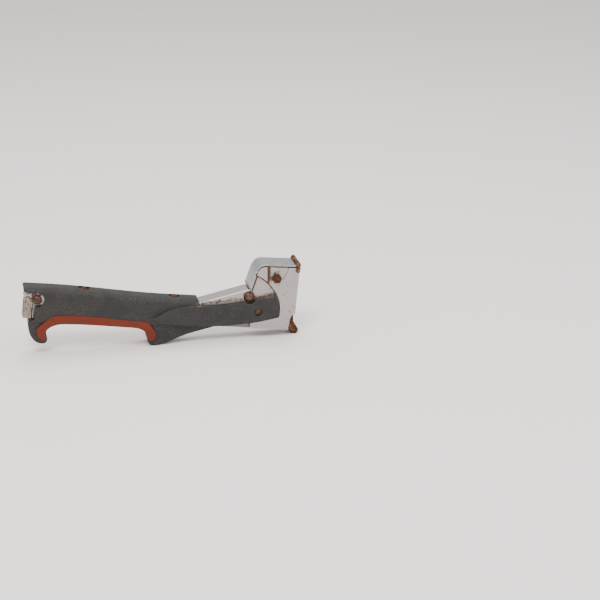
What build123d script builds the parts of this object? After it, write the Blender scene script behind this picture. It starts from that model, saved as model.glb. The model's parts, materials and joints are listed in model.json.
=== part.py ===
"""Hammer tacker (staple gun swung like a hammer), modelled as it comes apart on a bench.

Units are millimetres. The tool lies as it rests on a table, on its nose and its front finger hook:
+X points to the head, +Z is up, and -Y is the side on which the bolt head shows.

Most pieces are drawn in the tool's own side view: u runs forward along the tool, v runs up,
and (0, 0) is the front bottom edge of the nose. The magazine has a side view of its own, s and t,
because it slopes down towards the nose.
"""
import math
import os

from build123d import *

os.makedirs("parts", exist_ok=True)

# ---- driving dimensions -------------------------------------------------------------------
REST_TILT = 6.0          # degrees, nose down, as the tool rests on the table
NOSE_X = 151.65          # row X of the nose corner, so that the whole tool is centred on X
SHEET = 1.5              # frame, cheek and cap sheet
GAP = 0.4                # free gap between pieces that move past each other
RUNNING_FIT = 0.05       # radial play of a pin that turns in its hole

FRAME_HALF = 10.0        # half width of the frame channel
HEAD_HALF = 14.5         # half width over the head cheeks
GRIP_HALF = 13.0         # half width of the handle moulding
HOOK_HALF = 10.6         # half width of the finger hooks
WING_HALF = 15.4         # half width over the forearm wings
INSERT_HALF = 13.3       # half width of the soft insert, a little proud of the moulding
MAGAZINE_HALF = 8.0      # half width of the magazine channel
CAVITY_HALF = 10.1       # half width of the space inside the handle

ARC_CENTRE = (-69.5, 27.0)   # centre of the round joint line between forearm and head
ARC_RADIUS = 44.2            # radius of the forearm's end
ARC_GAP = 1.1                # shadow gap between the forearm's end and the cheeks

HEAD_BOLT = (-32.4, 67.9)
BOLT_RADIUS = 3.0
BOLT_HOLE = BOLT_RADIUS + 0.1
CHANNEL_RIVET = (-60.5, 43.3)
FOREARM_RIVET = (-49.6, 26.9)
PIVOT = (-295.7, 33.3)       # rear rivet, on which the magazine swings

SCREW_SHANK = 1.9
HANDLE_SCREWS = (            # place along the tool, height of the recess floor, height of the channel's web
    (-244.8, 42.0, 38.8),
    (-144.1, 36.4, 34.8),
)

MAGAZINE_FRONT = (-12.0, 4.6)    # bottom front corner of the magazine in the tool's side view
MAGAZINE_SLOPE = 1.44            # degrees, down towards the nose
MAGAZINE_LENGTH = 288.0
MAGAZINE_HEIGHT = 13.0
MAGAZINE_WALL = 1.2


# ---- working planes -----------------------------------------------------------------------
def side_plane(origin, tilt):
    """Side view plane with its x axis tilted nose down and its normal towards -Y."""
    angle = math.radians(tilt)
    return Plane(origin=origin, x_dir=(math.cos(angle), 0, -math.sin(angle)), z_dir=(0, -1, 0))


tool = side_plane((NOSE_X, 0, 0), REST_TILT)
magazine = side_plane(tool.from_local_coords(MAGAZINE_FRONT), REST_TILT + MAGAZINE_SLOPE)


def in_magazine(point):
    """A point of the tool's side view, given in the magazine's side view."""
    slope = math.radians(MAGAZINE_SLOPE)
    du = point[0] - MAGAZINE_FRONT[0]
    dv = point[1] - MAGAZINE_FRONT[1]
    return (du * math.cos(slope) - dv * math.sin(slope), du * math.sin(slope) + dv * math.cos(slope))


def on_table(u):
    """Point of the tool's side view that lies on the table."""
    return (u, u * math.tan(math.radians(REST_TILT)))


def upright_plane(point, out=0.0):
    """Plane whose normal points up along the tool's v axis, at a point of the side view."""
    angle = math.radians(REST_TILT)
    up = (math.sin(angle), 0, math.cos(angle))
    return Plane(origin=tool.from_local_coords(point), x_dir=(0, 1, 0), z_dir=up).offset(out)


def along_magazine(point):
    """Plane across the magazine at a point of its side view, facing the nose."""
    return Plane(origin=magazine.from_local_coords(point), z_dir=magazine.x_dir)


def save(piece, label):
    """Label a finished piece and write it as one STEP file."""
    piece.part.label = label
    export_step(piece.part, f"parts/{label}.step")


# ---- outlines shared by several pieces ----------------------------------------------------
CHANNEL_TOP = [(-309.6, 41.4), (-118.0, 33.8), (-62.2, 51.8)]


def arc_point(radius, degrees):
    """Point on a circle about the joint line's centre."""
    angle = math.radians(degrees)
    return (ARC_CENTRE[0] + radius * math.cos(angle), ARC_CENTRE[1] + radius * math.sin(angle))


# ---- frame channel ------------------------------------------------------------------------
LOBE_TOP = 71.2          # degrees on the arc where the lobe meets the cap strap
LOBE_BOTTOM = -12.0      # degrees on the arc where the lobe's lower corner lies
LOBE_RADIUS = ARC_RADIUS - 0.2
CHANNEL_BOTTOM = [(-46.0, 20.5), (-118.0, 17.0), (-288.0, 27.0), (-298.0, 31.4), (-309.6, 32.2)]

with BuildPart() as frame_channel:
    with BuildSketch(tool):
        with BuildLine():
            lobe = ThreePointArc(
                arc_point(LOBE_RADIUS, LOBE_BOTTOM),
                arc_point(LOBE_RADIUS, 30),
                arc_point(LOBE_RADIUS, LOBE_TOP),
            )
            back = Polyline(lobe @ 1, (-57.0, 60.8), (-59.4, 51.4), *reversed(CHANNEL_TOP))
            Polyline(back @ 1, *reversed(CHANNEL_BOTTOM), lobe @ 0)
        make_face()
    extrude(amount=FRAME_HALF, both=True)
    with BuildSketch(tool):
        with BuildLine():
            inner = Polyline(
                (-330, 39.0), (-118.2, 32.2), (-61.8, 50.2), (-61.0, 90), (0, 90), (0, 0), (-330, 0)
            )
            Line(inner @ 1, inner @ 0)
        make_face()
    extrude(amount=FRAME_HALF - SHEET, both=True, mode=Mode.SUBTRACT)
    with BuildSketch(tool):
        for centre, radius in ((PIVOT, 2.5), (CHANNEL_RIVET, 2.5), (FOREARM_RIVET, 1.6)):
            with Locations(centre):
                Circle(radius)
        with Locations((-96.2, 35.6)):
            SlotCenterToCenter(2.6, 1.4, rotation=90)
    extrude(amount=FRAME_HALF + 1, both=True, mode=Mode.SUBTRACT)
    for u, floor, web in HANDLE_SCREWS:
        with BuildSketch(upright_plane((u, web - 6))):
            Circle(SCREW_SHANK + 0.02)
        extrude(amount=12, mode=Mode.SUBTRACT)
save(frame_channel, "frame_channel")


# ---- head cheeks --------------------------------------------------------------------------
RIM_INNER = ARC_RADIUS + ARC_GAP
RIM_OUTER = RIM_INNER + SHEET
RIM_LOW = -7.5           # degrees, lower end of the joggled rim
RIM_HIGH = 71.0          # degrees, upper end of the joggled rim
TAB_RADIUS = 35.0        # how far the rim's inner tab reaches behind the frame channel
RIM_BANDS = (            # inner radius, upper end and depth of the rim and of its inner tab
    (RIM_INNER, RIM_HIGH - 3, HEAD_HALF - FRAME_HALF + 2 * SHEET),
    (TAB_RADIUS, RIM_HIGH - 14, SHEET - 0.05),
)
CHEEK_FRONT = [(-6.3, 80.0), (-6.3, 25.4), (-10.3, 24.1), (-12.0, 19.0), (-12.5, 11.3), (-13.9, 8.3)]
CHEEK_SOLE = [(-17.3, 7.2), (-56.6, 6.7), (-57.1, 13.2), (-46.1, 15.3), (-34.8, 18.2), (-28.6, 20.0)]
CHEEK_TOP = [(-53.6, 74.6), (-50.9, 78.3), (-47.4, 80.0)]


def cheek(side):
    """One cheek plate: side is -1 for the bolt head's side and 1 for the nut's side."""
    with BuildPart() as plate:
        with BuildSketch(tool.offset(-side * (HEAD_HALF - SHEET))):
            with BuildLine():
                rim = ThreePointArc(
                    arc_point(RIM_INNER, RIM_LOW), arc_point(RIM_INNER, 30), arc_point(RIM_INNER, RIM_HIGH)
                )
                Polyline(rim @ 1, *CHEEK_TOP, *CHEEK_FRONT, *CHEEK_SOLE, rim @ 0)
            make_face()
            with Locations(HEAD_BOLT):
                Circle(BOLT_HOLE, mode=Mode.SUBTRACT)
        extrude(amount=-side * SHEET)
        for radius, high, depth in RIM_BANDS:
            with BuildSketch(tool.offset(-side * (FRAME_HALF - 2 * SHEET))):
                with BuildLine():
                    middle = (RIM_LOW + 24 + high) / 2
                    inner = ThreePointArc(
                        arc_point(radius, RIM_LOW + 24), arc_point(radius, middle), arc_point(radius, high)
                    )
                    outer = ThreePointArc(
                        arc_point(RIM_OUTER, RIM_LOW + 24),
                        arc_point(RIM_OUTER, middle),
                        arc_point(RIM_OUTER, high),
                    )
                    Line(inner @ 0, outer @ 0)
                    Line(inner @ 1, outer @ 1)
                make_face()
            extrude(amount=-side * depth)
    return plate


save(cheek(-1), "cheek_bolt_side")
save(cheek(1), "cheek_nut_side")


# ---- head cap: a strap bent over the head ---------------------------------------------------
with BuildPart() as head_cap:
    with BuildSketch(tool):
        with BuildLine():
            tail = Line((-61.15, 52.9), (-56.9, 70.2))
            bend = Spline(tail @ 1, (-53.9, 77.4), (-45.4, 82.25), tangents=(tail % 1, (1, 0)))
            Line(bend @ 1, (-10.3, 82.25))
        trace(line_width=SHEET)
    extrude(amount=HEAD_HALF, both=True)
save(head_cap, "head_cap")


# ---- bolt bracket: a saddle under the cap, with two ears folded down over the cheeks --------
EAR = 1.2
EAR_TIP = 7.8            # radius of the ears' round ends about the bolt
BRACKET_TOP = 81.4

with BuildPart() as bolt_bracket:
    with BuildSketch(tool):
        with BuildLine():
            tip = ThreePointArc(
                (HEAD_BOLT[0] - EAR_TIP, HEAD_BOLT[1]),
                (HEAD_BOLT[0], HEAD_BOLT[1] - EAR_TIP),
                (HEAD_BOLT[0] + EAR_TIP, HEAD_BOLT[1]),
            )
            Polyline(tip @ 1, (-20.4, 78.0), (-19.9, BRACKET_TOP), (-41.3, BRACKET_TOP), tip @ 0)
        make_face()
    extrude(amount=HEAD_HALF + EAR, both=True)
    shoulders = bolt_bracket.edges().filter_by(
        lambda edge: abs(edge.center().Y) > HEAD_HALF
        and tool.to_local_coords(edge.center()).Y > BRACKET_TOP - 0.1
    )
    fillet(shoulders, 1.0)
    with BuildSketch(tool):
        with Locations((-31.0, BRACKET_TOP - EAR - 25.0)):
            Rectangle(40.0, 50.0)
    extrude(amount=HEAD_HALF + 0.02, both=True, mode=Mode.SUBTRACT)
    with BuildSketch(tool):
        with Locations(HEAD_BOLT):
            Circle(BOLT_HOLE)
    extrude(amount=HEAD_HALF + 2 * EAR, both=True, mode=Mode.SUBTRACT)
save(bolt_bracket, "bolt_bracket")


# ---- head bolt, nut and sleeve ------------------------------------------------------------
HEX_RADIUS = 10.0 / math.sqrt(3)
HEX_HEIGHT = 4.0
EAR_FACE = HEAD_HALF + EAR

with BuildPart() as head_bolt:
    with BuildSketch(tool.offset(EAR_FACE)):
        with Locations(HEAD_BOLT):
            RegularPolygon(HEX_RADIUS, 6, rotation=12)
    extrude(amount=HEX_HEIGHT)
    chamfer(head_bolt.faces().sort_by(Axis.Y)[0].edges(), 0.6)
    with BuildSketch(tool.offset(EAR_FACE)):
        with Locations(HEAD_BOLT):
            Circle(BOLT_RADIUS)
    extrude(amount=-(2 * EAR_FACE + HEX_HEIGHT))
save(head_bolt, "head_bolt")

with BuildPart() as head_nut:
    with BuildSketch(tool.offset(-EAR_FACE)):
        with Locations(HEAD_BOLT):
            RegularPolygon(HEX_RADIUS, 6, rotation=25)
            Circle(BOLT_RADIUS + 0.02, mode=Mode.SUBTRACT)
    extrude(amount=-HEX_HEIGHT)
save(head_nut, "head_nut")

with BuildPart() as bolt_sleeve:
    with BuildSketch(tool):
        with Locations(HEAD_BOLT):
            Circle(6.0)
            Circle(BOLT_HOLE, mode=Mode.SUBTRACT)
    extrude(amount=HEAD_HALF - SHEET, both=True)
save(bolt_sleeve, "bolt_sleeve")


# ---- return spring, which pushes the magazine down, and its seats --------------------------
SPRING_U = HEAD_BOLT[0]
SEAT_TOP = 20.2
CUP_BOTTOM = 56.0
RETURN_RADIUS = 4.9      # mean coil radius
RETURN_WIRE = 0.8        # wire radius
RETURN_TURNS = 7

with BuildPart() as spring_cup:
    with BuildSketch(upright_plane((SPRING_U, CUP_BOTTOM))):
        Circle(6.5)
    extrude(amount=10.0)
    with BuildSketch(upright_plane((SPRING_U, CUP_BOTTOM - 8))):
        Circle(3.4)
    extrude(amount=8.0)
    with BuildSketch(tool):
        with Locations(HEAD_BOLT):
            Circle(6.02)
        with Locations((HEAD_BOLT[0], HEAD_BOLT[1] + 6)):
            Rectangle(20, 12)
    extrude(amount=20, both=True, mode=Mode.SUBTRACT)
save(spring_cup, "spring_cup")


def coil(base, radius, wire, length, turns):
    """Compression spring standing on a plane: one round wire swept along a helix."""
    with BuildPart() as spring:
        height = length - 2 * wire
        with BuildLine() as path:
            Helix(height / turns, height, radius, center=base.offset(wire).origin, direction=base.z_dir)
        with BuildSketch(Plane(origin=path.line @ 0, z_dir=path.line % 0)):
            Circle(wire)
        sweep(path=path.line)
    return spring


save(
    coil(
        upright_plane((SPRING_U, SEAT_TOP), 0.1),
        RETURN_RADIUS, RETURN_WIRE, CUP_BOTTOM - SEAT_TOP - 0.3, RETURN_TURNS,
    ),
    "return_spring",
)


# ---- driver blade and the holder that carries it between the cheeks ------------------------
HOLDER = ((-22.5, 32.0), (-10.95, 79.4))      # lower rear and upper front corners
BLADE_FRONT = -9.9
BLADE_TIP = 12.4
BLADE_HALF = 5.5
BLADE_TOP = 75.0
BLADE_RIVETS = (45.0, 68.0)
RIVET_BACK = -17.0
BUMPER_BOTTOM = 27.4


with BuildPart(tool) as blade_holder:
    with Locations(((HOLDER[0][0] + HOLDER[1][0]) / 2, (HOLDER[0][1] + HOLDER[1][1]) / 2)):
        Box(HOLDER[1][0] - HOLDER[0][0], HOLDER[1][1] - HOLDER[0][1], 2 * (HEAD_HALF - SHEET - 0.05))
    chamfer(blade_holder.edges().filter_by(Axis.Y).sort_by(Axis.Z)[-2:], 3.0)
    for height in BLADE_RIVETS:
        with BuildSketch(Plane(origin=tool.from_local_coords((RIVET_BACK, height)), z_dir=tool.x_dir)):
            Circle(1.5)
        extrude(amount=BLADE_FRONT - RIVET_BACK, mode=Mode.SUBTRACT)
save(blade_holder, "blade_holder")

with BuildPart(tool) as driver_blade:
    with Locations(((HOLDER[1][0] + 0.05 + BLADE_FRONT) / 2, (BLADE_TIP + BLADE_TOP) / 2)):
        Box(BLADE_FRONT - HOLDER[1][0] - 0.05, BLADE_TOP - BLADE_TIP, 2 * BLADE_HALF)
    for height in BLADE_RIVETS:
        with BuildSketch(Plane(origin=tool.from_local_coords((RIVET_BACK, height)), z_dir=tool.x_dir)):
            Circle(1.5)
        extrude(amount=BLADE_FRONT - RIVET_BACK, mode=Mode.SUBTRACT)
save(driver_blade, "driver_blade")

with BuildPart() as blade_rivets:
    for height in BLADE_RIVETS:
        with BuildSketch(Plane(origin=tool.from_local_coords((RIVET_BACK, height)), z_dir=tool.x_dir)):
            Circle(1.48)
        extrude(amount=BLADE_FRONT - RIVET_BACK)
save(blade_rivets, "blade_rivets")

with BuildPart(tool) as bumper:
    with Locations((-17.4, (BUMPER_BOTTOM + HOLDER[0][1]) / 2)):
        Box(9.6, HOLDER[0][1] - BUMPER_BOTTOM - 0.04, 15.8)
    fillet(bumper.edges().filter_by(Axis.Y), 0.8)
save(bumper, "bumper")


# ---- rivets and screws --------------------------------------------------------------------
def dome_head(centre, half, radius, height, side):
    """Domed rivet head on one side of the tool, standing on the plane `half` from the middle."""
    sphere_radius = (radius**2 + height**2) / (2 * height)
    with BuildPart() as head:
        with BuildSketch(tool.offset(-side * half)):
            with Locations(centre):
                Circle(radius)
        extrude(amount=-side * height)
        ball_centre = tool.offset(-side * (half + height - sphere_radius)).from_local_coords(centre)
        with Locations(ball_centre):
            Sphere(sphere_radius, mode=Mode.INTERSECT)
    return head.part


def through_rivet(centre, half, shank, radius, height):
    """Rivet through the whole tool with a domed head on each side."""
    with BuildPart() as rivet:
        with BuildSketch(tool):
            with Locations(centre):
                Circle(shank)
        extrude(amount=half + 0.1, both=True)
        for side in (-1, 1):
            add(dome_head(centre, half, radius, height, side))
    return rivet


save(through_rivet(CHANNEL_RIVET, FRAME_HALF + 0.02, 2.45, 6.5, 4.6), "channel_rivet")
save(through_rivet(PIVOT, FRAME_HALF + 0.02, 2.45, 5.3, 3.4), "pivot_rivet")

FOREARM_SEAT = WING_HALF - 1.8

with BuildPart() as forearm_rivets:
    for side in (-1, 1):
        add(dome_head(FOREARM_RIVET, FOREARM_SEAT + 0.02, 3.7, 1.5, side))
        with BuildSketch(tool.offset(-side * (FRAME_HALF - SHEET))):
            with Locations(FOREARM_RIVET):
                Circle(1.55)
        extrude(amount=-side * (FOREARM_SEAT - FRAME_HALF + SHEET + 0.1))
save(forearm_rivets, "forearm_rivets")

SCREW_HEAD = 4.4

with BuildPart() as handle_screws:
    for u, floor, web in HANDLE_SCREWS:
        with BuildSketch(upright_plane((u, floor + 0.02))):
            Circle(SCREW_HEAD)
        extrude(amount=2.6, taper=14)
        with BuildSketch(upright_plane((u, floor + 2.62))):
            Rectangle(5.2, 0.9)
            Rectangle(0.9, 5.2)
        extrude(amount=-1.3, mode=Mode.SUBTRACT)
        with BuildSketch(upright_plane((u, web - 3.0))):
            Circle(SCREW_SHANK)
        extrude(amount=floor - web + 3.1)
save(handle_screws, "handle_screws")


# ---- magazine channel ---------------------------------------------------------------------
PIVOT_S, PIVOT_T = in_magazine(PIVOT)
EYE = 4.2                # radius of the magazine's eyes about the rear rivet, clear of the frame's web

with BuildPart() as magazine_channel:
    with BuildSketch(magazine):
        with BuildLine():
            eye = ThreePointArc(
                (PIVOT_S + EYE, PIVOT_T), (PIVOT_S, PIVOT_T + EYE), (PIVOT_S - EYE, PIVOT_T)
            )
            Polyline(
                eye @ 1, (-MAGAZINE_LENGTH, 14.0), (-MAGAZINE_LENGTH, 0), (0, 0), (0, MAGAZINE_HEIGHT),
                (-268.0, MAGAZINE_HEIGHT), eye @ 0,
            )
        make_face()
    extrude(amount=MAGAZINE_HALF, both=True)
    with BuildSketch(magazine):
        with Locations((-MAGAZINE_LENGTH / 2, 25 + MAGAZINE_WALL)):
            Rectangle(MAGAZINE_LENGTH + 20, 50)
    extrude(amount=MAGAZINE_HALF - MAGAZINE_WALL, both=True, mode=Mode.SUBTRACT)
    with BuildSketch(magazine):
        with Locations((PIVOT_S, PIVOT_T)):
            Circle(2.45 + RUNNING_FIT)
        with Locations((-9.0, 5.0), (-4.5, 9.0)):
            Circle(1.2)
    extrude(amount=MAGAZINE_HALF + 1, both=True, mode=Mode.SUBTRACT)
save(magazine_channel, "magazine_channel")


# ---- staple rail inside the magazine, open on top for the pusher's tongue -------------------
RAIL_HALF = 4.9
RAIL_TOP = 10.2
RAIL_BOTTOM = MAGAZINE_WALL
ROD_T = (RAIL_TOP + RAIL_BOTTOM) / 2
SLOT_HALF = 1.5

with BuildPart() as staple_rail:
    with BuildSketch(Plane(origin=magazine.origin, x_dir=(0, 1, 0), z_dir=-magazine.x_dir).offset(1.5)):
        with Locations((0, -ROD_T)):
            Rectangle(2 * RAIL_HALF, RAIL_TOP - RAIL_BOTTOM)
            Rectangle(2 * (RAIL_HALF - 1), RAIL_TOP - RAIL_BOTTOM - 2, mode=Mode.SUBTRACT)
        with Locations((0, -RAIL_TOP)):
            Rectangle(2 * SLOT_HALF, 3, mode=Mode.SUBTRACT)
    extrude(amount=MAGAZINE_LENGTH - 3.0)
save(staple_rail, "staple_rail")


# ---- nose plate: foot, front sheet, stop bar over the cap, and flanges on the magazine ------
PLATE_FRONT = -6.6
PLATE_BACK = -8.2
FOOT_BACK = -9.5
PLATE_HALF = HEAD_HALF - SHEET - GAP
FLANGE_HALF = MAGAZINE_HALF + 0.03
BAR_BOTTOM = 83.0 + GAP
STOP_LUG = 1.3           # thickness of the small lugs that hang from the bar over the cheeks
BAR_HALF = HEAD_HALF + GAP + STOP_LUG

with BuildPart() as nose_plate:
    with BuildSketch(tool):
        with Locations(((PLATE_FRONT + PLATE_BACK) / 2, (BAR_BOTTOM + 26) / 2)):
            Rectangle(PLATE_FRONT - PLATE_BACK, BAR_BOTTOM - 26)
    extrude(amount=PLATE_HALF, both=True)
    with BuildSketch(tool):
        with BuildLine():
            Polyline((PLATE_BACK, 27), (FOOT_BACK, 24), (FOOT_BACK, 7.5), on_table(-6.7))
            Polyline(on_table(-6.7), on_table(-0.9), (1.1, 4.7))
            Polyline((1.1, 4.7), (-2.5, 10.1))
            Polyline((-2.5, 10.1), (-5.9, 14.8), (PLATE_FRONT, 21.5), (PLATE_FRONT, 27), (PLATE_BACK, 27))
        make_face()
    extrude(amount=7.5, both=True)
    with BuildSketch(tool):
        with BuildLine():
            Polyline(
                (-11.3, BAR_BOTTOM), (-10.2, 85.9), (-7.6, 86.7), (-6.0, 85.4), (-6.0, BAR_BOTTOM),
                (-11.3, BAR_BOTTOM),
            )
        make_face()
    extrude(amount=BAR_HALF, both=True)
    for side in (-1, 1):
        with BuildSketch(tool.offset(-side * (HEAD_HALF + GAP))):
            with Locations((-8.4, 80.2)):
                Rectangle(4.6, 6.6)
            with Locations((-8.4, 77.0)):
                Circle(2.3)
        extrude(amount=-side * STOP_LUG)
        with BuildSketch(tool.offset(-side * FLANGE_HALF)):
            with Locations((-14.3, 12.2)):
                Rectangle(15.4, 9.6)
        extrude(amount=-side * 1.2)
        with BuildSketch(tool.offset(-side * 7.0)):
            with Locations(((PLATE_FRONT + PLATE_BACK) / 2, 12.2)):
                Rectangle(PLATE_FRONT - PLATE_BACK, 9.6)
        extrude(amount=-side * (FLANGE_HALF + 1.2 - 7.0))
    with BuildSketch(magazine):
        with Locations((-9.0, 5.0), (-4.5, 9.0)):
            Circle(1.2)
    extrude(amount=FLANGE_HALF + 2, both=True, mode=Mode.SUBTRACT)
save(nose_plate, "nose_plate")

with BuildPart() as nose_rivets:
    for side in (-1, 1):
        with BuildSketch(magazine.offset(-side * (MAGAZINE_HALF - MAGAZINE_WALL))):
            with Locations((-9.0, 5.0), (-4.5, 9.0)):
                Circle(1.18)
        extrude(amount=-side * (FLANGE_HALF + 1.25 - MAGAZINE_HALF + MAGAZINE_WALL))
        with BuildSketch(magazine.offset(-side * (FLANGE_HALF + 1.22))):
            with Locations((-9.0, 5.0), (-4.5, 9.0)):
                Circle(2.0)
        extrude(amount=-side * 0.8, taper=25)
save(nose_rivets, "nose_rivets")

# plate across the magazine on which the return spring stands
with BuildPart() as spring_seat:
    with BuildSketch(tool):
        with BuildLine():
            Polyline((-41, SEAT_TOP), (-23, SEAT_TOP), (-23, 18.0), (-41, 18.4), (-41, SEAT_TOP))
        make_face()
    extrude(amount=MAGAZINE_HALF - 0.1, both=True)
    with BuildSketch(magazine):
        with Locations((-MAGAZINE_LENGTH / 2, MAGAZINE_HEIGHT + 0.02 - 5)):
            Rectangle(MAGAZINE_LENGTH, 10)
    extrude(amount=MAGAZINE_HALF + 1, both=True, mode=Mode.SUBTRACT)
    with BuildSketch(upright_plane((SPRING_U, SEAT_TOP - 0.1))):
        Circle(3.4)
    extrude(amount=4.1)
save(spring_seat, "spring_seat")


# ---- loader: end cap with the pusher rod, pulled out rearwards to load staples --------------
CAP_REAR = -298.0
CAP_INNER = -289.4
CAP_LOW = -0.5
CAP_HIGH = 19.2
CAP_HALF = 9.0
ROD_RADIUS = 1.5
LATCH_PIN = (-296.4, 15.6)
LATCH_HALF = 6.0
FINGER_HALF = 2.0
FINGER_GAP = 0.4

with BuildPart() as end_cap:
    with BuildSketch(magazine):
        with Locations(((CAP_REAR + CAP_INNER) / 2, (CAP_LOW + CAP_HIGH) / 2)):
            Rectangle(CAP_INNER - CAP_REAR, CAP_HIGH - CAP_LOW)
    extrude(amount=CAP_HALF, both=True)
    fillet(end_cap.edges().filter_by(Axis.Y), 0.7)
    with BuildSketch(magazine):
        with Locations((CAP_REAR, 8.75)):
            Rectangle(7.2, 19.3)
    extrude(amount=LATCH_HALF + FINGER_GAP, both=True, mode=Mode.SUBTRACT)
    with BuildSketch(magazine):
        with Locations((-292, 16.4)):
            Rectangle(13, 4.4)
    extrude(amount=FINGER_HALF + FINGER_GAP, both=True, mode=Mode.SUBTRACT)
    with BuildSketch(magazine):
        with Locations(LATCH_PIN):
            Circle(0.8)
    extrude(amount=7.6, both=True, mode=Mode.SUBTRACT)
    with BuildSketch(along_magazine((CAP_INNER - 0.1, ROD_T))):
        Circle(3.2)
    extrude(amount=4.0)
    with BuildSketch(along_magazine((CAP_INNER - 3.2, ROD_T))):
        Circle(ROD_RADIUS + 0.02)
    extrude(amount=10.0, mode=Mode.SUBTRACT)
save(end_cap, "end_cap")

with BuildPart() as pusher_rod:
    with BuildSketch(along_magazine((CAP_INNER - 3.1, ROD_T))):
        Circle(ROD_RADIUS)
    extrude(amount=-CAP_INNER + 3.1 - 3.2)
    fillet(pusher_rod.edges().sort_by(Axis.X)[-1], 0.6)
save(pusher_rod, "pusher_rod")

with BuildPart() as latch_pin:
    with BuildSketch(magazine):
        with Locations(LATCH_PIN):
            Circle(0.78)
    extrude(amount=7.55, both=True)
save(latch_pin, "latch_pin")

with BuildPart() as latch_lever:
    with BuildSketch(magazine):
        with Locations((CAP_REAR + 0.2, 8.0)):
            Rectangle(1.5, 15.6)
        with Locations(LATCH_PIN):
            Circle(1.6)
    extrude(amount=LATCH_HALF, both=True)
    with BuildSketch(magazine):
        with BuildLine():
            Polyline((-297.2, 16.9), (-282.0, 16.9), (-280.6, 15.4), (-280.6, 14.4), (-282.0, 14.4))
            Polyline((-282.0, 14.4), (-282.0, 15.5), (-297.2, 15.2), (-297.2, 16.9))
        make_face()
    extrude(amount=FINGER_HALF, both=True)
    with BuildSketch(magazine):
        with Locations(LATCH_PIN):
            Circle(0.78 + RUNNING_FIT)
    extrude(amount=LATCH_HALF + 1, both=True, mode=Mode.SUBTRACT)
save(latch_lever, "latch_lever")


# ---- pusher, which rides on the rail and drives the staples forward -------------------------
PUSHER_FRONT = -6.0
PUSHER_LENGTH = 15.0
SADDLE_HALF = MAGAZINE_HALF - MAGAZINE_WALL - GAP
SADDLE_INNER = RAIL_HALF + GAP
ROD_COLLAR = 2.9
ROD_CLEARANCE = 0.35

with BuildPart() as pusher:
    pusher_face = Plane(
        origin=magazine.from_local_coords((PUSHER_FRONT, 0)), x_dir=(0, 1, 0), z_dir=-magazine.x_dir
    )
    with BuildSketch(pusher_face):
        with Locations((0, -(MAGAZINE_WALL + GAP + 11.6) / 2)):
            Rectangle(2 * SADDLE_HALF, 11.6 - MAGAZINE_WALL - GAP)
        with Locations((0, -(RAIL_TOP + GAP) / 2)):
            Rectangle(2 * SADDLE_INNER, RAIL_TOP + GAP, mode=Mode.SUBTRACT)
        with Locations((0, -(ROD_T + 11) / 2)):
            Rectangle(2 * (SLOT_HALF - GAP), 11 - ROD_T)
        with Locations((0, -ROD_T)):
            Circle(ROD_COLLAR)
            Circle(ROD_RADIUS + ROD_CLEARANCE, mode=Mode.SUBTRACT)
    extrude(amount=PUSHER_LENGTH)
save(pusher, "pusher")

SPRING_REAR = CAP_INNER + 4.2
SPRING_FRONT = PUSHER_FRONT - PUSHER_LENGTH - 0.3
rear_end = Plane(origin=magazine.from_local_coords((SPRING_REAR, ROD_T)), z_dir=magazine.x_dir)
save(coil(rear_end, 2.35, 0.35, SPRING_FRONT - SPRING_REAR, 30), "pusher_spring")


# ---- soft insert round the finger recess ----------------------------------------------------
INSERT_OUTER = [
    (-287.0, -13.2), (-292.6, -8.6), (-294.2, 0.0), (-288.6, 6.2), (-279.5, 14.0), (-264.0, 16.7),
    (-226.0, 15.4), (-182.0, 12.0), (-172.5, 10.1), (-167.6, 4.4), (-162.9, -4.4), (-166.2, -10.2),
]
RECESS_FRONT = (-172.2, -8.6)
RECESS = [
    (-172.6, -4.6), (-178.4, 1.7), (-192.0, 4.4), (-225.4, 6.0), (-260.0, 6.8), (-276.0, 4.6), (-283.6, -1.1),
]
RECESS_REAR = (-283.6, -9.6)
MAGAZINE_ROOM = [(-330.0, 11.7), (-12.0, 3.7), (0.0, 3.7), (0.0, 26.0), (-330.0, 34.0)]

with BuildPart() as grip_insert:
    with BuildSketch(tool):
        with BuildLine():
            recess = Spline(RECESS_FRONT, *RECESS, RECESS_REAR)
            Spline(recess @ 1, *INSERT_OUTER, recess @ 0)
        make_face()
    extrude(amount=INSERT_HALF, both=True)
    with BuildSketch(tool):
        with BuildLine():
            Polyline(*MAGAZINE_ROOM, MAGAZINE_ROOM[0])
        make_face()
    extrude(amount=CAVITY_HALF, both=True, mode=Mode.SUBTRACT)
save(grip_insert, "grip_insert")


# ---- handle moulding: ridge over the frame, finger hooks, and forearm wings -----------------
SIDE_FLOOR = 8.0         # height at which the full-width moulding gives way to the hooks
RIDGE_TOP = [(-314.0, 48.6), (-290.0, 48.2), (-250.0, 46.4), (-200.0, 42.5), (-155.0, 40.0), (-95.0, 38.0)]
RIDGE_SECTION = [            # half width, and depth below the ridge's top
    (-13.0, 26.0), (-12.5, 13.0), (-11.0, 4.6), (-6.2, 0.8), (0.0, 0.0),
    (6.2, 0.8), (11.0, 4.6), (12.5, 13.0), (13.0, 26.0),
]
RIDGE_OUTLINE = [
    (-303.5, 55.0), (-306.4, 48.7), (-309.6, 47.7), (-311.0, 45.6), (-310.4, 43.0), (-308.8, 42.2),
    (-301.0, 41.3), (-297.3, 29.0), (-297.3, 10.6), (-299.0, 10.1), (-303.4, SIDE_FLOOR), (-303.4, 5.0),
    (-97.4, 5.0), (-97.4, 31.7), (-115.6, 31.7), (-117.3, 37.0), (-121.5, 42.0), (-121.5, 55.0),
]
WEB_LINE = [(-97.2, 7.4), (-112.8, 2.3), (-129.5, -3.4), (-145.9, -11.0), (-160.3, -16.7)]
FRONT_TIP = [(-168.6, -15.7), (-172.1, -8.2)]
REAR_TIP = [(-283.2, -8.2), (-284.5, -16.4), (-292.1, -16.6), (-301.2, -7.4), (-303.8, 1.9), (-303.6, 10.1)]
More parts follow.
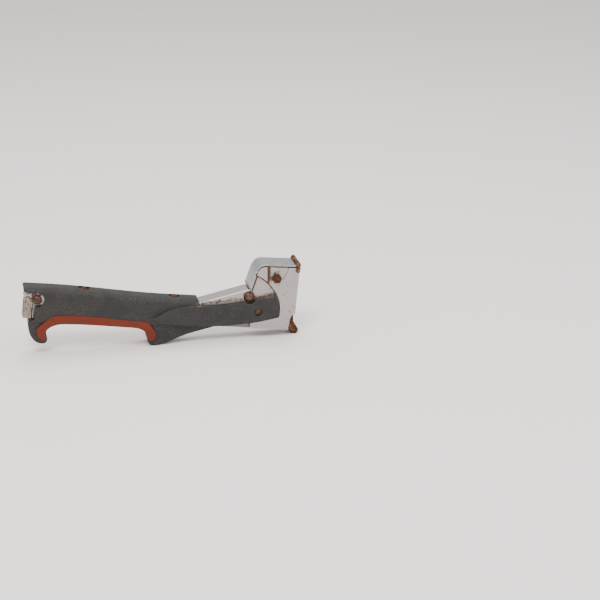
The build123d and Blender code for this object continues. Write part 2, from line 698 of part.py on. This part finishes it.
CAVITY = [(-330.0, 42.31), (-118.0, 33.9), (-60.0, 52.6), (0.0, 60.0), (0.0, 3.7), (-330.0, 11.7)]
RECESS_RADIUS = 6.3
WING_END_TOP = 29.0      # degrees on the joint line's arc
WING_END_LOW = -6.0

WING_TOP = [
    (-169.2, 16.2), (-160.4, 20.3), (-149.7, 26.5), (-138.7, 29.7), (-118.6, 31.9), (-98.8, 32.9),
    (-81.9, 35.1), (-52.7, 41.8), (-34.6, 46.6),
]
WING_BOTTOM = [
    (-28.2, 21.2), (-34.8, 18.8), (-56.8, 13.9), (-80.1, 10.4), (-97.4, 9.0), (-131.5, 9.2), (-159.7, 11.0),
]

with BuildPart() as handle_grip:
    # crowned ridge and grip sides, lofted through cross sections
    for u, top in RIDGE_TOP:
        with BuildSketch(Plane(origin=tool.from_local_coords((u, 0)), x_dir=(0, 1, 0), z_dir=-tool.x_dir)):
            with BuildLine():
                crown = Spline(*[(y, drop - top) for y, drop in RIDGE_SECTION])
                Polyline(crown @ 1, (12.4, -SIDE_FLOOR), (-12.4, -SIDE_FLOOR), crown @ 0)
            make_face()
    loft()
    with BuildSketch(tool):
        with BuildLine():
            Polyline(*RIDGE_OUTLINE, RIDGE_OUTLINE[0])
        make_face()
    extrude(amount=GRIP_HALF + 5, both=True, mode=Mode.INTERSECT)
    # hooks and web, narrower than the grip
    with BuildSketch(tool):
        with BuildLine():
            web = Spline(*WEB_LINE)
            front_tip = Spline(web @ 1, *FRONT_TIP)
            Polyline(front_tip @ 1, (-172.1, 2.0), (-283.2, 2.0), REAR_TIP[0])
            Spline(*REAR_TIP)
            Polyline(REAR_TIP[-1], (-299.0, 10.1), (-297.3, 24.0), (-97.4, 24.0), web @ 0)
        make_face()
    extrude(amount=HOOK_HALF, both=True)
    # wings on both sides of the frame channel
    for side in (-1, 1):
        with BuildSketch(tool.offset(-side * CAVITY_HALF)):
            with BuildLine():
                upper = Spline(*WING_TOP)
                end = ThreePointArc(
                    arc_point(ARC_RADIUS, WING_END_TOP),
                    arc_point(ARC_RADIUS, 10),
                    arc_point(ARC_RADIUS, WING_END_LOW),
                )
                Line(upper @ 1, end @ 0)
                lower = Spline(*WING_BOTTOM)
                Line(end @ 1, lower @ 0)
                Line(lower @ 1, upper @ 0)
            make_face()
        extrude(amount=-side * (WING_HALF - CAVITY_HALF))
    # room for the soft insert
    with BuildSketch(tool):
        with BuildLine():
            around = Spline(RECESS_REAR, *INSERT_OUTER, RECESS_FRONT)
            Line(around @ 1, around @ 0)
        make_face()
    extrude(amount=INSERT_HALF + 1, both=True, mode=Mode.SUBTRACT)
    # room for the frame channel and for the magazine's swing
    with BuildSketch(tool):
        with BuildLine():
            Polyline(*CAVITY, CAVITY[0])
        make_face()
    extrude(amount=CAVITY_HALF, both=True, mode=Mode.SUBTRACT)
    # pockets round the rivets
    for centre, radius, floor in (
        (PIVOT, 8.0, CAVITY_HALF - 1),
        (CHANNEL_RIVET, 7.1, CAVITY_HALF - 1),
        (FOREARM_RIVET, 4.9, FOREARM_SEAT),
        (FOREARM_RIVET, 1.6, CAVITY_HALF - 1),
    ):
        for side in (-1, 1):
            with BuildSketch(tool.offset(-side * floor)):
                with Locations(centre):
                    Circle(radius)
            extrude(amount=-side * 10, mode=Mode.SUBTRACT)
    # recessed screws on the ridge
    for u, floor, web in HANDLE_SCREWS:
        with BuildSketch(upright_plane((u, floor))):
            Circle(RECESS_RADIUS)
        extrude(amount=12, mode=Mode.SUBTRACT)
        with BuildSketch(upright_plane((u, web - 3))):
            Circle(SCREW_SHANK + 0.1)
        extrude(amount=12, mode=Mode.SUBTRACT)
save(handle_grip, "handle_grip")
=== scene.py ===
"""Worn hammer tacker on a pale table. Metres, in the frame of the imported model."""

import json
import math

import bmesh
import bpy
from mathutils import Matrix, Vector


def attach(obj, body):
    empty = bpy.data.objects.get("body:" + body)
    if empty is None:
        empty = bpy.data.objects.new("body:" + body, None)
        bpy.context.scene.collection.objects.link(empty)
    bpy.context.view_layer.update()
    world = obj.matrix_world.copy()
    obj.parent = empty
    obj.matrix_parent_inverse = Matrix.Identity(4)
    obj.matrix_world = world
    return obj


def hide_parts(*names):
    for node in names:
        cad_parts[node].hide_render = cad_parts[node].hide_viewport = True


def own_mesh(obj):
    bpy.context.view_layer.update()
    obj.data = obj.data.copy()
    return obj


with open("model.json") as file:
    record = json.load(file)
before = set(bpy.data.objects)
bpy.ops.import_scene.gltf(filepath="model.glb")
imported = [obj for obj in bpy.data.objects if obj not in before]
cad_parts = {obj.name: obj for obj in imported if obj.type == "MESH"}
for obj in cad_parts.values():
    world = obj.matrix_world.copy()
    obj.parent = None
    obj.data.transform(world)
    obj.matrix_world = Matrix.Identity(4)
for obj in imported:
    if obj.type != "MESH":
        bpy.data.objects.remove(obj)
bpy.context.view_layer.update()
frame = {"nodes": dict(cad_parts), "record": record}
BODIES = frame["record"]["behaviour"]["bodies"]
BODY_OF = {node: body for body, nodes in BODIES.items() for node in nodes}

# the tool's side view: u forward along the tool, v up, (0, 0) at the nose's front bottom edge
REST_TILT = math.radians(6.0)
NOSE_X = 0.15165
MM = 1000                    # millimetres in a metre


# ---- node helpers -------------------------------------------------------------------------
EDGE_SAMPLES = 6
COAT_ROUGHNESS = 0.25
FLANK_FADE = 0.4             # mm over which a mask of the side faces comes in


class Shader:
    """A material's node tree, with short calls for the nodes that the recipes below share."""

    def __init__(self, name):
        self.material = bpy.data.materials.new(name)
        self.material.use_nodes = True
        self.tree = self.material.node_tree
        self.bsdf = self.tree.nodes["Principled BSDF"]
        self.place = self.node("ShaderNodeTexCoord").outputs["Object"]
        turn = self.node("ShaderNodeMapping", vector_type="TEXTURE")
        turn.inputs["Location"].default_value = (NOSE_X, 0, 0)
        turn.inputs["Rotation"].default_value = (0, REST_TILT, 0)
        self.link(self.place, turn.inputs["Vector"])
        self.side = turn.outputs["Vector"]      # the tool's side view, in metres: u, y, v

    def node(self, kind, **settings):
        made = self.tree.nodes.new(kind)
        for key, value in settings.items():
            setattr(made, key, value)
        return made

    def link(self, source, target):
        self.tree.links.new(source, target)

    def feed(self, socket, value):
        if isinstance(value, bpy.types.NodeSocket):
            self.link(value, socket)
        else:
            socket.default_value = value

    def noise(self, scale, detail=4.0, rough=0.55, distortion=0.0, stretch=None):
        vector = self.side
        if stretch:
            scaled = self.node("ShaderNodeMapping")
            scaled.inputs["Scale"].default_value = stretch
            self.link(vector, scaled.inputs["Vector"])
            vector = scaled.outputs["Vector"]
        made = self.node("ShaderNodeTexNoise")
        made.inputs["Scale"].default_value = scale
        made.inputs["Detail"].default_value = detail
        made.inputs["Roughness"].default_value = rough
        made.inputs["Distortion"].default_value = distortion
        self.link(vector, made.inputs["Vector"])
        return made.outputs["Fac"]

    def cells(self, scale):
        """Distance to the nearest of scattered points."""
        made = self.node("ShaderNodeTexVoronoi")
        made.inputs["Scale"].default_value = scale
        self.link(self.side, made.inputs["Vector"])
        return made.outputs["Distance"]

    def math(self, operation, a, b=0.0, clamp=False):
        made = self.node("ShaderNodeMath", operation=operation, use_clamp=clamp)
        for socket, value in zip(made.inputs, (a, b)):
            self.feed(socket, value)
        return made.outputs["Value"]

    def step(self, value, low, high):
        """0 below low, 1 above high, smooth between; low may be above high."""
        made = self.node("ShaderNodeMapRange", interpolation_type="SMOOTHSTEP")
        self.feed(made.inputs["Value"], value)
        made.inputs["From Min"].default_value = low
        made.inputs["From Max"].default_value = high
        return made.outputs["Result"]

    def both(self, a, b):
        return self.math("MULTIPLY", a, b)

    def either(self, a, b):
        return self.math("MAXIMUM", a, b)

    def mix(self, share, a, b):
        made = self.node("ShaderNodeMix", data_type="RGBA")
        self.feed(made.inputs["Factor"], share)
        for socket, value in ((made.inputs["A"], a), (made.inputs["B"], b)):
            if isinstance(value, tuple):
                socket.default_value = (*value, 1.0)
            else:
                self.link(value, socket)
        return made.outputs["Result"]

    def blend(self, share, a, b):
        """Number between a and b."""
        made = self.node("ShaderNodeMix", data_type="FLOAT")
        self.feed(made.inputs["Factor"], share)
        self.feed(made.inputs["A"], a)
        self.feed(made.inputs["B"], b)
        return made.outputs["Result"]

    def axes(self):
        split = self.node("ShaderNodeSeparateXYZ")
        self.link(self.side, split.inputs["Vector"])
        return split.outputs["X"], split.outputs["Y"], split.outputs["Z"]

    def offset(self, point):
        """How far a place lies along and up the tool from a point of the side view."""
        along, _, up = self.axes()
        u, v = point
        return self.math("SUBTRACT", along, u / MM), self.math("SUBTRACT", up, v / MM)

    def length(self, a, b):
        return self.math("SQRT", self.math("ADD", self.both(a, a), self.both(b, b)))

    def within(self, distance, inner, outer):
        """1 where a distance is under `inner` mm, 0 beyond `outer` mm."""
        return self.step(distance, outer / MM, inner / MM)

    def near(self, point, inner, outer):
        """Band round a line across the tool at the side view's point."""
        return self.within(self.length(*self.offset(point)), inner, outer)

    def segment(self, start, end, inner, outer):
        """Band round the side view's segment from start to end."""
        run, rise = (end[0] - start[0]) / MM, (end[1] - start[1]) / MM
        squared = run * run + rise * rise
        a, b = self.offset(start)
        share = self.math("ADD", self.both(a, run / squared), self.both(b, rise / squared), clamp=True)
        off_a = self.math("SUBTRACT", a, self.both(share, run))
        off_b = self.math("SUBTRACT", b, self.both(share, rise))
        return self.within(self.length(off_a, off_b), inner, outer)

    def ring(self, centre, radius, inner, outer):
        """Band round the side view's circle."""
        reach = self.length(*self.offset(centre))
        off = self.math("ABSOLUTE", self.math("SUBTRACT", reach, radius / MM))
        return self.within(off, inner, outer)

    def flanks(self, half):
        """1 on what lies further than `half` mm from the middle plane."""
        _, across, _ = self.axes()
        return self.step(self.math("ABSOLUTE", across), (half - FLANK_FADE) / MM, half / MM)

    def edges(self, radius, low=0.02, high=0.2):
        """1 on the piece's own convex and concave edges, from the difference to a rounded normal."""
        rounded = self.node("ShaderNodeBevel", samples=EDGE_SAMPLES)
        rounded.inputs["Radius"].default_value = radius
        plain = self.node("ShaderNodeNewGeometry")
        dot = self.node("ShaderNodeVectorMath", operation="DOT_PRODUCT")
        self.link(rounded.outputs["Normal"], dot.inputs[0])
        self.link(plain.outputs["Normal"], dot.inputs[1])
        return self.step(self.math("SUBTRACT", 1.0, dot.outputs["Value"]), low, high)

    def bump(self, height, distance, strength):
        made = self.node("ShaderNodeBump")
        made.inputs["Strength"].default_value = strength
        made.inputs["Distance"].default_value = distance
        self.link(height, made.inputs["Height"])
        return made.outputs["Normal"]

    def finish(self, color, rough, metal, normal, coat=0.0, specular=0.5):
        self.bsdf.inputs["Specular IOR Level"].default_value = specular
        self.link(color, self.bsdf.inputs["Base Color"])
        self.feed(self.bsdf.inputs["Roughness"], rough)
        self.feed(self.bsdf.inputs["Metallic"], metal)
        self.bsdf.inputs["Coat Weight"].default_value = coat
        self.bsdf.inputs["Coat Roughness"].default_value = COAT_ROUGHNESS
        self.link(normal, self.bsdf.inputs["Normal"])
        return self.material


# ---- materials ----------------------------------------------------------------------------
# RUST_DARK and SPECK also colour the painted shade lines on the plated steel
RUST_DARK = (0.015, 0.0055, 0.0025)
RUST_BROWN = (0.095, 0.033, 0.012)
RUST_TAN = (0.30, 0.17, 0.085)
DIRT = (0.11, 0.075, 0.045)
ZINC = (0.425, 0.40, 0.38)
ZINC_COOL = (0.375, 0.38, 0.395)
ZINC_DARK = (0.20, 0.185, 0.17)
ZINC_STAIN = (0.33, 0.24, 0.19)
SPECK = (0.14, 0.062, 0.030)
# near-white: rubbed edges, and the painted highlight on edges and on the channel's bend
BURNISH_AND_HIGHLIGHT = (0.88, 0.89, 0.91)
GRIP_DARK = (0.0105, 0.0110, 0.0120)
GRIP_PALE = (0.0205, 0.0200, 0.0200)
GRIP_DUST = (0.060, 0.043, 0.029)
GRIP_SPECKLE = (0.098, 0.076, 0.054)
GRIP_SCUFF = (0.09, 0.085, 0.077)
GRIP_EDGE = (0.11, 0.10, 0.088)
INSERT_DARK = (0.088, 0.0125, 0.0050)
INSERT_RED = (0.150, 0.0235, 0.0100)
INSERT_GRIME = (0.045, 0.015, 0.010)
CHROME_DARK = (0.21, 0.165, 0.135)
CHROME_PALE = (0.33, 0.28, 0.245)
CHROME_PIT = (0.075, 0.036, 0.018)
STEEL = (0.3, 0.29, 0.28)
SPRING_STEEL = (0.2, 0.19, 0.18)
OIL_FILM = (0.16, 0.11, 0.08)
BLACK_RUBBER = (0.02, 0.02, 0.02)
GREY_RUBBER = (0.05, 0.048, 0.045)

# places in the side view that rust, grime, wear and the painted shade and highlight lines follow, in
# millimetres
WING_TOP = ((-118, 33), (-34, 47))
WING_TOP_RUST = ((-118, 32.8), (-35, 45.6))
WING_TOP_DRIPS = ((-118, 34.2), (-35, 47.0))
EAR_REAR_STREAK = ((-42.6, 80), (-40.6, 60))
EAR_REAR = ((-41.3, 80), (-40.2, 64))
EAR_FRONT = ((-19.6, 79.5), (-24.4, 66.4))
EAR_FRONT_LOW = ((-24.4, 66.4), (-28.4, 60.6))
# under the strap's edge, where the painted shadow line on the bracket lies
BRACKET_TOP = ((-41.3, 80.9), (-20.0, 80.9))
BOLT_BLOOM = (-32.4, 66.8)
BOLT_SCABS = (-34.6, 70.6)
STRAP_TAIL = (-61.5, 53)
STRAP_SLOPE = (-58, 66)
STRAP_BEND = ((-52, 79), (-34, 83))
STRAP_TOP = ((-27, 83), (-18, 83))
CHANNEL_RIVET = (-60.5, 43.3)
CHANNEL_REAR = (-299.0, 35.0)
# the channel's upper bend, where a highlight is painted
CHANNEL_BEND = ((-119, 33.1), (-62.6, 51.2))
# where the strap overhangs the lobe: the painted shade line in the crevice lies here
LOBE_REAR = ((-57.6, 50.6), (-53.4, 67.6))
ARC_CENTRE = (-69.5, 27.0)
ARC_RADIUS = 44.0
CHANNEL_FLANK = 9.8          # half width beyond which only the channel's side faces lie
BEND_FLANK = 9.6             # the same, with the bend


def grip_plastic():
    s = Shader("grip_plastic")
    grain = s.noise(2600, 2.0)
    cloud = s.noise(38, 5.0, 0.6)
    smear = s.noise(90, 6.0, 0.65, 0.6, stretch=(0.35, 1, 1))
    scuff = s.noise(420, 6.0, 0.7, stretch=(0.22, 1, 1.0))
    base = s.mix(cloud, GRIP_DARK, GRIP_PALE)
    dust = s.step(smear, 0.50, 0.74)
    speckle = s.step(s.noise(720, 5.0, 0.75), 0.50, 0.62)
    speckle = s.both(speckle, s.step(s.noise(60, 4.0), 0.38, 0.56))
    dusty = s.mix(s.both(dust, 0.22), base, GRIP_DUST)
    dusty = s.mix(s.both(speckle, 0.42), dusty, GRIP_SPECKLE)
    worn = s.both(s.step(scuff, 0.62, 0.74), 0.4)
    worn_color = s.mix(worn, dusty, GRIP_SCUFF)
    wing_dirt = s.segment(*WING_TOP, 0.4, 3.2)
    wing_dirt = s.both(wing_dirt, s.step(s.noise(260, 5.0), 0.36, 0.6))
    color = s.mix(wing_dirt, worn_color, DIRT)
    edge = s.both(s.edges(0.0012), s.step(s.noise(300, 4.0), 0.42, 0.62))
    color = s.mix(s.both(edge, 0.35), color, GRIP_EDGE)
    height = s.math("ADD", s.both(grain, 0.35), s.both(scuff, 0.65))
    rough = s.blend(dust, 0.52, 0.74)
    return s.finish(color, rough, 0.0, s.bump(height, 0.00012, 0.45), specular=0.32)


def insert_rubber():
    s = Shader("insert_rubber")
    cloud = s.noise(60, 5.0, 0.6, stretch=(0.4, 1, 1))
    fine = s.noise(1500, 3.0)
    base = s.mix(cloud, INSERT_DARK, INSERT_RED)
    grime = s.step(s.noise(150, 6.0, 0.7, stretch=(0.3, 1, 1)), 0.5, 0.72)
    color = s.mix(s.both(grime, 0.55), base, INSERT_GRIME)
    return s.finish(color, 0.6, 0.0, s.bump(fine, 0.0001, 0.3), specular=0.22)


def plated_steel(name, tone, rusty, more_rust_and_shade=None, painted_highlight=None):
    """Satin zinc plate: rust specks and faint stains; an extra mask adds more rust, and on some pieces
    painted shade lines; edges are lightened as rubbed wear and as a painted highlight, and a further
    mask adds a painted highlight.
    """
    s = Shader(name)
    cloud = s.noise(45, 6.0, 0.62)
    fine = s.noise(900, 4.0, 0.6)
    dull = tuple(part * 0.82 for part in tone)
    warm = s.mix(cloud, dull, tone)
    stain = s.step(s.noise(140, 7.0, 0.7), 0.60 - rusty, 0.80 - rusty)
    color = s.mix(s.both(stain, 0.45), warm, ZINC_STAIN)
    fine_specks = s.both(s.step(s.cells(430), 0.25, 0.10), s.step(s.noise(95, 3.0), 0.46, 0.58))
    bold_specks = s.both(s.step(s.cells(235), 0.25, 0.12), s.step(s.noise(62, 4.0, 0.6), 0.49, 0.58))
    rust_and_shade_mask = s.either(s.both(fine_specks, 0.8), s.both(bold_specks, 0.85))
    # the extra marks add rust, and on the bracket and channel also painted shade lines
    if more_rust_and_shade:
        rust_and_shade_mask = s.either(rust_and_shade_mask, more_rust_and_shade(s))
    # rust colour, which also colours the painted shade lines
    rust = s.mix(s.step(fine, 0.4, 0.62), RUST_DARK, SPECK)
    # edges lightened near-white, partly rubbed wear and partly a painted highlight where the edges
    # catch the light
    rubbed = s.edges(0.0007, 0.03, 0.16)
    # painted highlight, such as the bright line along the channel's bend
    if painted_highlight:
        rubbed = s.either(rubbed, painted_highlight(s))
    color = s.mix(s.both(rubbed, 0.85), color, BURNISH_AND_HIGHLIGHT)
    color = s.mix(rust_and_shade_mask, color, rust)
    plain = s.blend(s.both(rubbed, 0.8), s.blend(fine, 0.36, 0.5), 0.22)
    rough = s.blend(rust_and_shade_mask, plain, 0.8)
    metal = s.blend(rust_and_shade_mask, 0.82, 0.1)
    height = s.math("ADD", s.both(fine, 0.4), s.both(rust_and_shade_mask, 0.6))
    return s.finish(color, rough, metal, s.bump(height, 0.00008, 0.5))


def rusty_steel(name, bright, gloss=0.0):
    """Rust all over, more of it rubbed tan as `bright` grows, under an oily coat with `gloss`."""
    s = Shader(name)
    lumps = s.noise(340, 7.0, 0.72)
    patch = s.noise(150, 5.0, 0.6)
    color = s.mix(s.step(lumps, 0.36, 0.66), RUST_DARK, RUST_BROWN)
    worn = s.step(patch, 0.62 - bright * 0.4, 0.74)
    rubbed = s.either(worn, s.both(s.edges(0.0006), s.step(patch, 0.4, 0.6)))
    color = s.mix(s.both(rubbed, 0.75), color, RUST_TAN)
    rough = s.blend(lumps, 0.62 - gloss, 0.86 - gloss)
    metal = s.both(rubbed, 0.35)
    return s.finish(color, rough, metal, s.bump(lumps, 0.0003, 0.7), coat=gloss * 0.9, specular=0.22)


def pitted_chrome():
    s = Shader("pitted_chrome")
    pits = s.step(s.cells(420), 0.40, 0.20)
    spread = s.step(s.noise(330, 5.0, 0.7), 0.46, 0.6)
    stain = s.noise(120, 5.0)
    base = s.mix(stain, CHROME_DARK, CHROME_PALE)
    color = s.mix(s.either(s.both(pits, 0.8), s.both(spread, 0.5)), base, CHROME_PIT)
    rough = s.blend(spread, 0.26, 0.6)
    return s.finish(color, rough, s.blend(spread, 0.9, 0.45), s.bump(s.noise(700, 5.0), 0.0001, 0.6))


def oiled_steel(name, tone):
    s = Shader(name)
    brushed = s.noise(900, 4.0, 0.6, stretch=(0.08, 1, 1))
    film = s.noise(80, 5.0)
    color = s.mix(s.step(film, 0.45, 0.7), tone, OIL_FILM)
    return s.finish(color, s.blend(brushed, 0.3, 0.5), 0.85, s.bump(brushed, 0.00004, 0.4))


def bumper_rubber():
    s = Shader("bumper_rubber")
    fine = s.noise(1400, 3.0)
    color = s.mix(s.noise(90, 4.0), BLACK_RUBBER, GREY_RUBBER)
    return s.finish(color, 0.75, 0.0, s.bump(fine, 0.0001, 0.4))


def cheek_rust(s):
    """A heavy streak behind the bracket's ear, a line before it, and a bloom round the bolt."""
    ragged = s.noise(300, 6.0, 0.7)
    streak = s.both(s.segment(*EAR_REAR_STREAK, 0.7, 1.9), s.step(ragged, 0.24, 0.42))
    outline = s.segment(*EAR_FRONT, 0.15, 0.9)
    low = s.segment(*EAR_FRONT_LOW, 0.15, 0.9)
    outline = s.both(s.either(outline, low), s.step(ragged, 0.30, 0.50))
    bloom = s.both(s.near(BOLT_BLOOM, 6.5, 10.5), s.step(ragged, 0.5, 0.64))
    return s.either(s.either(streak, outline), bloom)


def bracket_rust_and_shade(s):
    """Rust on the ears' rear edge and scabs round the bolt, and a painted shadow: a dark line under
    the strap's edge.
    """
    ragged = s.noise(300, 6.0, 0.7)
    rear = s.both(s.segment(*EAR_REAR, 0.5, 1.7), s.step(ragged, 0.26, 0.44))
    scabs = s.both(s.near(BOLT_SCABS, 4.5, 9.5), s.step(ragged, 0.49, 0.61))
    # painted shadow of the strap's edge on the bracket: an unbroken dark line
    top = s.segment(*BRACKET_TOP, 0.25, 0.85)
    return s.either(s.either(rear, scabs), top)


def cap_rust(s):
    """Rust at the strap's tail, and pitted patches over its bend."""
    ragged = s.noise(260, 6.0, 0.7)
    fleck = s.noise(150, 7.0, 0.78)
    tip = s.both(s.near(STRAP_TAIL, 0.8, 3.6), s.step(ragged, 0.36, 0.55))
    pits = s.step(s.cells(330), 0.34, 0.18)
    patch = s.both(s.both(s.near(STRAP_SLOPE, 1.0, 6.0), 0.5), pits)
    bend = s.both(s.segment(*STRAP_BEND, 1.0, 7.0), s.both(pits, s.step(fleck, 0.46, 0.56)))
    scrape = s.both(s.segment(*STRAP_TOP, 0.6, 2.4), s.both(pits, 0.8))
    return s.either(s.either(tip, patch), s.either(bend, scrape))


def channel_rust_and_shade(s):
    """Rust along the handle's top line and round both rivets, a painted shade line in the crevice
    where the strap overhangs the lobe, and a dark line along the arc joint of the head.
    """
    ragged = s.noise(340, 6.0, 0.7)
    blots = s.step(s.noise(130, 3.0), 0.52, 0.60)
    low = s.both(s.segment(*WING_TOP_RUST, 0.25, 1.6), s.step(ragged, 0.40, 0.56))
    drips = s.both(blots, s.step(ragged, 0.44, 0.56))
    drips = s.both(s.segment(*WING_TOP_DRIPS, 0.3, 2.4), drips)
    hub = s.both(s.near(CHANNEL_RIVET, 6.5, 8.2), s.step(ragged, 0.45, 0.6))
    rear = s.both(s.near(CHANNEL_REAR, 7.5, 13.0), s.step(ragged, 0.40, 0.56))
    # painted shade: an unbroken dark line in the crevice where the strap overhangs the lobe
    crevice_shade = s.segment(*LOBE_REAR, 0.45, 1.35)
    joint = s.both(s.ring(ARC_CENTRE, ARC_RADIUS, 0.25, 1.25), s.step(ragged, 0.20, 0.42))
    sides_rust_and_shade = s.either(s.either(s.either(low, drips), hub), s.either(crevice_shade, joint))
    return s.either(s.both(sides_rust_and_shade, s.flanks(CHANNEL_FLANK)), rear)


def channel_bend_highlight(s):
    """Painted highlight: a bright line along the channel's upper bend, where the bend catches the
    light.
    """
    return s.both(s.segment(*CHANNEL_BEND, 0.2, 0.85), s.flanks(BEND_FLANK))


MATERIALS = {
    "handle_grip": grip_plastic(),
    "grip_insert": insert_rubber(),
    "frame_channel": plated_steel("channel_plate", ZINC, 0.02, channel_rust_and_shade, channel_bend_highlight),
    "cheek": plated_steel("cheek_plate", ZINC, 0.0, cheek_rust),
    "head_cap": plated_steel("cap_plate", ZINC_COOL, 0.03, cap_rust),
    "bolt_bracket": plated_steel("bracket_plate", ZINC, 0.05, bracket_rust_and_shade),
    "magazine_channel": plated_steel("magazine_plate", ZINC_DARK, 0.10),
    "head_hex": rusty_steel("rusty_hex", 0.04),
    "nose_plate": rusty_steel("rusty_nose", 0.42),
    "rivets": rusty_steel("rusty_rivets", 0.12, 0.34),
    "screws": rusty_steel("rusty_screws", 0.0),
    "end_cap": pitted_chrome(),
    "steel": oiled_steel("oiled_steel", STEEL),
    "wire": oiled_steel("spring_wire", SPRING_STEEL),
    "bumper": bumper_rubber(),
}
LOOK_OF_NODE = {             # every other node is oiled steel
    "handle_grip": "handle_grip", "grip_insert": "grip_insert", "frame_channel": "frame_channel",
    "cheek_bolt_side": "cheek", "cheek_nut_side": "cheek", "head_cap": "head_cap",
    "bolt_bracket": "bolt_bracket", "magazine_channel": "magazine_channel",
    "head_bolt": "head_hex", "head_nut": "head_hex", "nose_plate": "nose_plate",
    "nose_rivets": "nose_plate", "channel_rivet": "rivets", "pivot_rivet": "rivets",
    "forearm_rivets": "rivets", "handle_screws": "screws", "end_cap": "end_cap",
    "latch_lever": "end_cap", "return_spring": "wire", "pusher_spring": "wire", "bumper": "bumper",
}

for name, node in frame["nodes"].items():
    node.data.materials.clear()
    node.data.materials.append(MATERIALS[LOOK_OF_NODE.get(name, "steel")])


# ---- pieces whose sharp modelled edges are eased, as pressed sheet and mouldings are ----------
EASED = {                    # radius in metres, and segments round it
    "frame_channel": (0.0011, 3), "cheek_bolt_side": (0.0004, 2), "cheek_nut_side": (0.0004, 2),
    "head_cap": (0.0004, 2), "bolt_bracket": (0.0003, 2), "handle_grip": (0.0009, 3),
    "grip_insert": (0.0008, 3), "nose_plate": (0.0004, 2), "end_cap": (0.0004, 2),
}
SHARP = math.radians(28)     # least angle at an edge that is rounded
WELD = 0.000002              # metres between points that are one
FLAT = math.radians(0.5)     # faces that meet under this angle are made one


def stand_in(piece, name):
    """Makes a finished piece stand for a modelled node: puts it on that node's body and hides the
    node.
    """
    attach(piece, BODY_OF[name])
    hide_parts(name)
    return piece


def copy_of(name, prefix):
    """A separate object with a copy of a modelled node's mesh."""
    piece = bpy.data.objects.new(prefix + name, frame["nodes"][name].data.copy())
    bpy.context.scene.collection.objects.link(piece)
    return piece


def eased_copy(name, radius, segments):
    """Copy of a modelled node with its sharp edges rounded, which stands for that node."""
    piece = copy_of(name, "eased_")
    form = bmesh.new()
    form.from_mesh(piece.data)
    bmesh.ops.remove_doubles(form, verts=form.verts, dist=WELD)
    bmesh.ops.dissolve_limit(form, angle_limit=FLAT, verts=form.verts, edges=form.edges)
    form.to_mesh(piece.data)
    form.free()
    bevel = piece.modifiers.new("edges", "BEVEL")
    bevel.width = radius
    bevel.segments = segments
    bevel.limit_method = "ANGLE"
    bevel.angle_limit = SHARP
    bevel.use_clamp_overlap = True
    bevel.harden_normals = True
    baked = bpy.data.meshes.new_from_object(piece.evaluated_get(bpy.context.evaluated_depsgraph_get()))
    piece.modifiers.clear()
    piece.data = baked
    return stand_in(piece, name)


for name, (radius, segments) in EASED.items():
    eased_copy(name, radius, segments)


return_spring = stand_in(copy_of("return_spring", "coil_"), "return_spring")
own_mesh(return_spring)
pusher_spring = stand_in(copy_of("pusher_spring", "coil_"), "pusher_spring")
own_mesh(pusher_spring)


# ---- floor, light and camera --------------------------------------------------------------
FLOOR_SIZE = 12
FLOOR_CENTRE = (0, 2.0, 0)
FLOOR_DARK = (0.92, 0.865, 0.845)
FLOOR_PALE = (0.945, 0.89, 0.87)


def pale_floor():
    s = Shader("pale_floor")
    color = s.mix(s.noise(3.0, 3.0), FLOOR_DARK, FLOOR_PALE)
    return s.finish(color, 0.9, 0.0, s.bump(s.noise(900, 2.0), 0.0002, 0.1))


bpy.ops.mesh.primitive_plane_add(size=FLOOR_SIZE, location=FLOOR_CENTRE)
floor = bpy.context.object
floor.name = "floor"
floor.data.materials.append(pale_floor())

CAMERA_AZIMUTH = math.radians(-12.7)
CAMERA_ELEVATION = math.radians(19.5)
CAMERA_DISTANCE = 1.718
CAMERA_AIM = Vector((0.158, 0.0047, 0.0356))
LENS_MM = 90
SENSOR_MM = 36

back = Vector((
    math.sin(CAMERA_AZIMUTH) * math.cos(CAMERA_ELEVATION),
    -math.cos(CAMERA_AZIMUTH) * math.cos(CAMERA_ELEVATION),
    math.sin(CAMERA_ELEVATION),
))
lens = bpy.data.cameras.new("camera")
lens.lens = LENS_MM
lens.sensor_width = SENSOR_MM
camera = bpy.data.objects.new("camera", lens)
camera.location = CAMERA_AIM + back * CAMERA_DISTANCE
camera.rotation_euler = back.to_track_quat("Z", "Y").to_euler()
bpy.context.collection.objects.link(camera)
bpy.context.scene.camera = camera


LIGHT_AIM = (0, 0, 0.03)
SOFT_LIGHTS = {              # place, width, power, tint
    "key": ((-0.5, -1.1, 1.7), 0.9, 32, (1.0, 0.97, 0.94)),
    "fill": ((1.3, -0.9, 1.0), 1.2, 12, (0.95, 0.97, 1.0)),
    "top": ((0.1, 0.7, 1.9), 1.4, 21, (1.0, 0.99, 0.97)),
}
for name, (place, width, power, tint) in SOFT_LIGHTS.items():
    lamp = bpy.data.lights.new(name, "AREA")
    lamp.shape = "DISK"
    lamp.size = width
    lamp.energy = power
    lamp.color = tint
    holder = bpy.data.objects.new(name, lamp)
    holder.location = place
    holder.rotation_euler = (Vector(place) - Vector(LIGHT_AIM)).to_track_quat("Z", "Y").to_euler()
    bpy.context.collection.objects.link(holder)

WORLD_TINT = (0.93, 0.92, 0.92, 1)
WORLD_STRENGTH = 1.04
world = bpy.data.worlds.new("world")
world.use_nodes = True
background = world.node_tree.nodes["Background"]
background.inputs["Color"].default_value = WORLD_TINT
background.inputs["Strength"].default_value = WORLD_STRENGTH
bpy.context.scene.world = world
